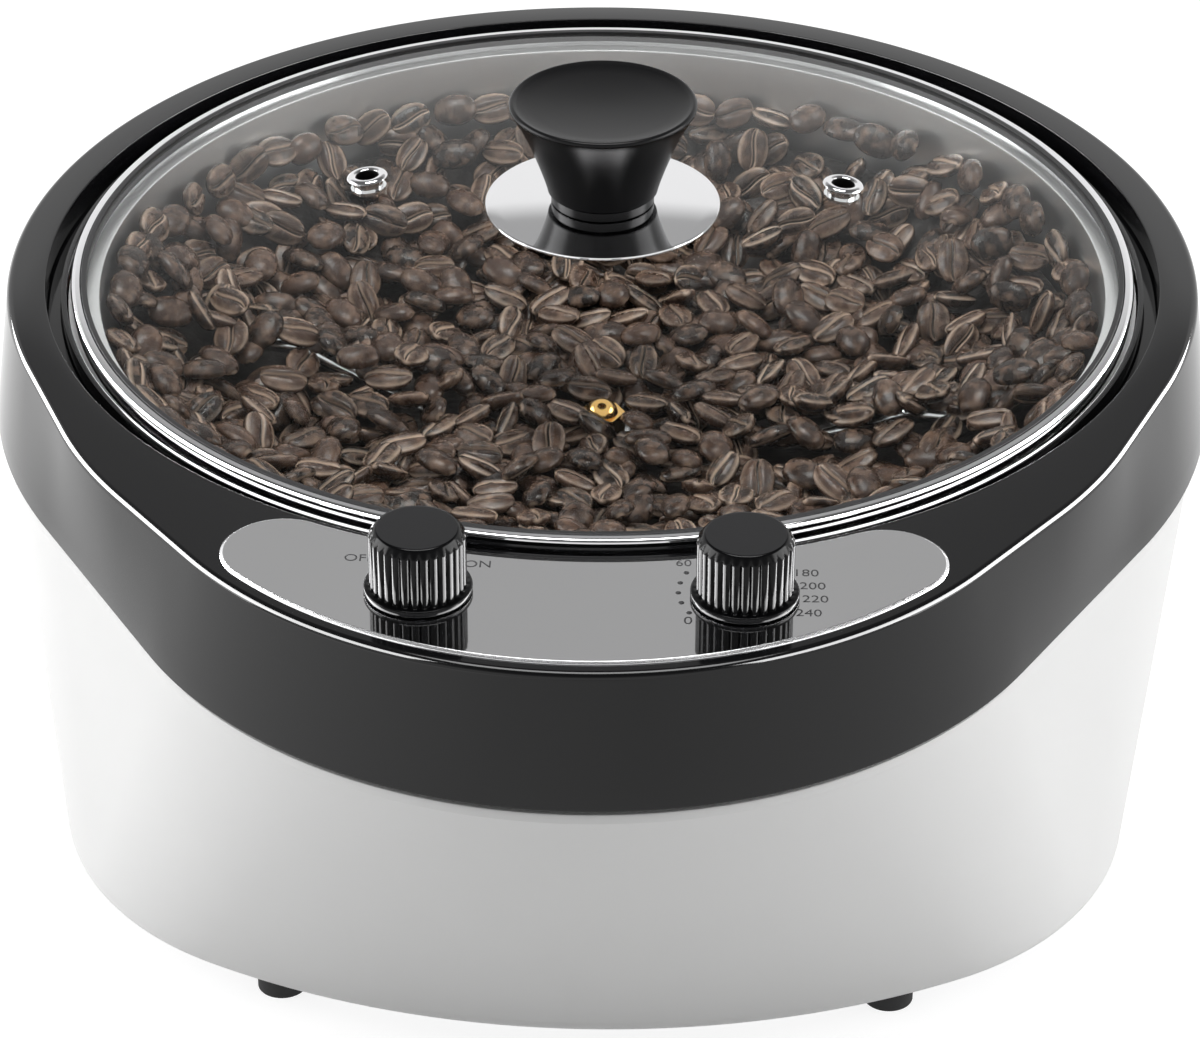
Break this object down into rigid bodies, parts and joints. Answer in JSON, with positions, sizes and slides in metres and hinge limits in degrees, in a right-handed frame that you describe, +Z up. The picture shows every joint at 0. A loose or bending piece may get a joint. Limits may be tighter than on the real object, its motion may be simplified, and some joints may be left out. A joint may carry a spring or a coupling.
{
  "type": "home coffee bean roaster",
  "caption": "Countertop coffee bean roaster: a round stirred pan under a lift-off domed glass lid, in a tapered base with an egg-shaped top shell and two control knobs.",
  "frame": {"origin": "on the table under the middle of the outline, at the undersides of the feet", "axes": "+Z up, -Y towards the control panel, +X to the right of someone facing the controls; the pan's axis is vertical at x 0, y 19.5 mm"},
  "size_m": [0.3288, 0.3678, 0.1907],
  "materials": {
    "base_white": "moulded white plastic with a soft gloss",
    "plate_steel": "galvanised sheet steel",
    "rubber_black": "matt black rubber",
    "screw_steel": "zinc-plated steel",
    "shell_black": "glossy black moulded plastic",
    "panel_mirror": "polished grey mirror plate with a bright edge",
    "pan_metal": "satin aluminium with a pale coating",
    "silicone_brown": "heat-proof silicone",
    "bronze": "sintered bronze",
    "heater_steel": "dark oxidised heater tube",
    "ceramic_white": "matt ceramic",
    "shield_aluminium": "bright aluminium sheet",
    "motor_can": "zinc-plated motor can",
    "thermostat_body": "cream phenolic",
    "switch_body": "black phenolic",
    "stirrer_steel": "stainless steel",
    "brass": "polished brass",
    "knob_black": "glossy black ribbed plastic",
    "lid_glass": "clear tempered glass",
    "rim_steel": "polished stainless steel",
    "seal_black": "black silicone",
    "lid_knob_black": "black phenolic with a satin gloss",
    "disc_steel": "mirror-polished stainless steel",
    "vent_chrome": "chrome-plated brass"
  },
  "bodies": {
    "housing": {"base_housing": "base_white", "bottom_plate": "plate_steel", "rubber_feet": "rubber_black", "plate_screws": "screw_steel", "top_shell": "shell_black", "shell_screws": "screw_steel", "control_panel": "panel_mirror", "roasting_pan": "pan_metal", "pan_gasket": "silicone_brown", "shaft_bush": "bronze", "shaft_seal": "silicone_brown", "heating_element": "heater_steel", "heater_clips": "screw_steel", "heat_probe": "bronze", "thermal_fuse": "ceramic_white", "sensor_clips": "screw_steel", "heat_shield": "shield_aluminium", "shield_standoffs": "screw_steel", "bracket_standoffs": "screw_steel", "stack_screws": "screw_steel", "motor_bracket": "plate_steel", "drive_motor": "motor_can", "motor_screws": "screw_steel", "terminal_block": "ceramic_white", "cord_gland": "rubber_black", "thermostat": "thermostat_body", "power_switch": "switch_body", "panel_nuts": "screw_steel"},
    "stirrer": {"drive_shaft": "stirrer_steel", "shaft_coupling": "stirrer_steel", "motor_shaft": "stirrer_steel", "stirrer_hub": "stirrer_steel", "stirrer_rods": "stirrer_steel", "stirrer_blades": "stirrer_steel", "hub_nut": "brass"},
    "heat_dial": {"heat_knob": "knob_black", "heat_spindle": "screw_steel"},
    "power_dial": {"power_knob": "knob_black", "power_spindle": "screw_steel"},
    "lid": {"lid_glass": "lid_glass", "lid_rim": "rim_steel", "lid_seal": "seal_black", "lid_knob": "lid_knob_black", "knob_disc": "disc_steel", "knob_screw": "screw_steel", "knob_washer": "silicone_brown", "vent_collars": "vent_chrome"}
  },
  "joints": [
    {"name": "stirrer_turn", "type": "hinge", "parent": "housing", "child": "stirrer", "pos_m": [0, 0.0195, 0.08], "axis": [0, 0, 1], "continuous": true},
    {"name": "heat_dial_turn", "type": "hinge", "parent": "housing", "child": "heat_dial", "pos_m": [0.039, -0.1455, 0.142], "axis": [0, 0, -1], "range_deg": [0, 270]},
    {"name": "power_dial_turn", "type": "hinge", "parent": "housing", "child": "power_dial", "pos_m": [-0.039, -0.1455, 0.142], "axis": [0, 0, -1], "range_deg": [0, 90]},
    {"name": "lid_lift", "type": "slide", "parent": "housing", "child": "lid", "axis": [0, 0, 1], "range_m": [0, 0.2]}
  ]
}
